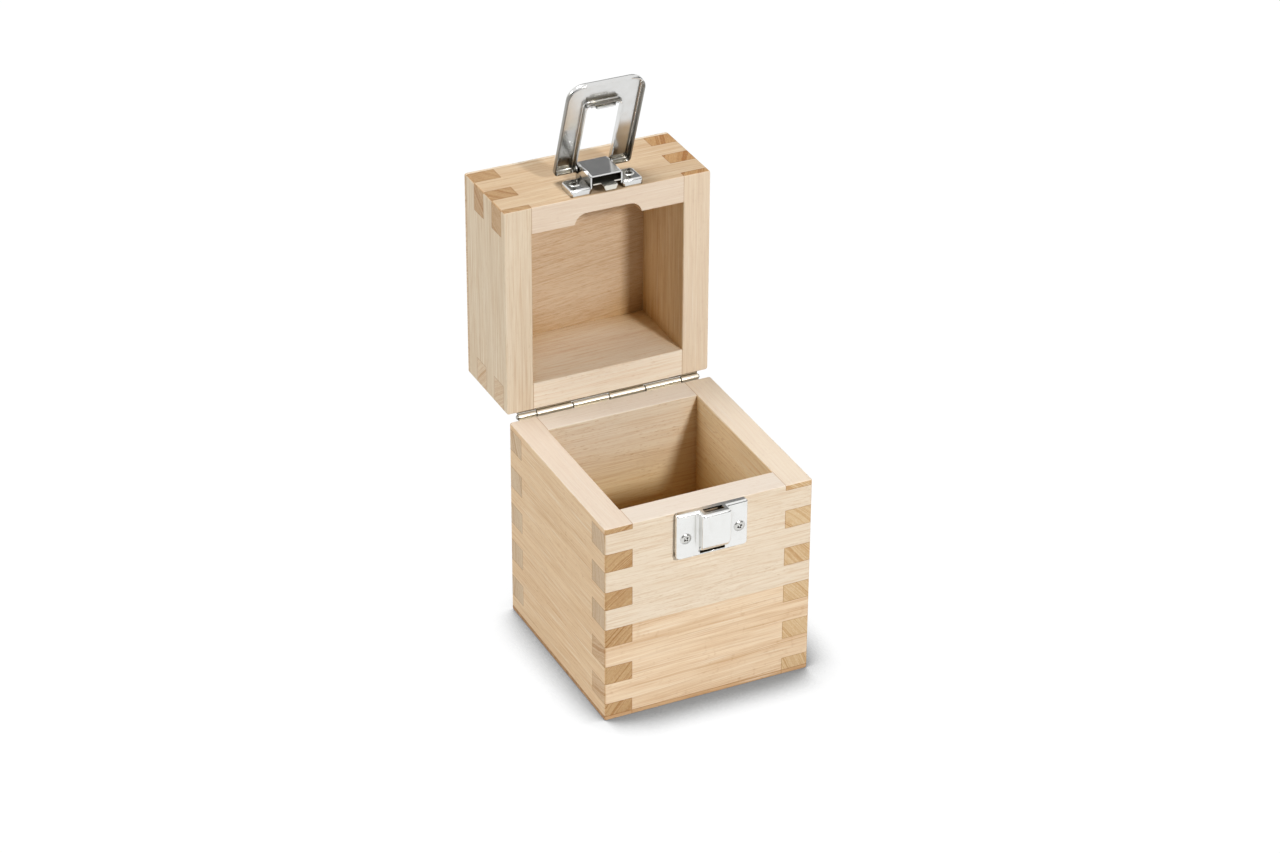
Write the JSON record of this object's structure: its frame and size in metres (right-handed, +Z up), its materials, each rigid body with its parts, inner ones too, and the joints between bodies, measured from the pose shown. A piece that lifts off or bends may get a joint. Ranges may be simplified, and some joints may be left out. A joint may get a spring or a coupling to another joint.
{
  "type": "weight set case",
  "caption": "Finger-jointed wooden case with a hinged lid, a strip hinge and a draw latch with a loop lever, made for one tall weight.",
  "frame": {"origin": "centre of the underside of the base", "axes": "+X to the right, the latch side faces -Y, +Z up"},
  "size_m": [0.104, 0.1615, 0.266],
  "materials": {
    "beech_wall": "fine sanded beech, oiled",
    "beech_panel": "thin beech panel, sanded",
    "nickel_sheet": "bright nickel-plated pressed sheet",
    "nickel_screw": "nickel-plated cross-head screw",
    "steel_pin": "drawn steel wire"
  },
  "bodies": {
    "base": {"base_front_wall_upper": "beech_wall", "base_front_wall_lower": "beech_wall", "base_back_wall": "beech_wall", "base_left_wall": "beech_wall", "base_right_wall": "beech_wall", "base_bottom_plate": "beech_panel", "hinge_leaf_base": "nickel_sheet", "hinge_pin": "steel_pin", "hinge_screws_base": "nickel_screw", "catch_plate": "nickel_sheet", "catch_screws": "nickel_screw"},
    "lid": {"lid_front_wall": "beech_wall", "lid_back_wall": "beech_wall", "lid_left_wall": "beech_wall", "lid_right_wall": "beech_wall", "lid_top_plate": "beech_panel", "hinge_leaf_lid": "nickel_sheet", "hinge_screws_lid": "nickel_screw", "latch_plate": "nickel_sheet", "latch_screws": "nickel_screw"},
    "lever": {"latch_lever": "nickel_sheet", "latch_crank_pin": "steel_pin"},
    "claw": {"latch_claw": "nickel_sheet"}
  },
  "joints": [
    {"name": "lid_hinge", "type": "hinge", "parent": "base", "child": "lid", "pos_m": [0, 0.0549, 0.10257], "axis": [1, 0, 0], "range_deg": [0, 90]},
    {"name": "latch_lever", "type": "hinge", "parent": "lid", "child": "lever", "pos_m": [0, 0.07197, 0.21593], "axis": [1, 0, 0], "range_deg": [0, 70.5]},
    {"name": "claw_pivot", "type": "hinge", "parent": "lever", "child": "claw", "pos_m": [0, 0.07048, 0.2158], "axis": [1, 0, 0], "range_deg": [-70.5, 0]}
  ],
  "couplings": [
    {"joint": "claw_pivot", "follows": "latch_lever", "ratio": -1}
  ]
}
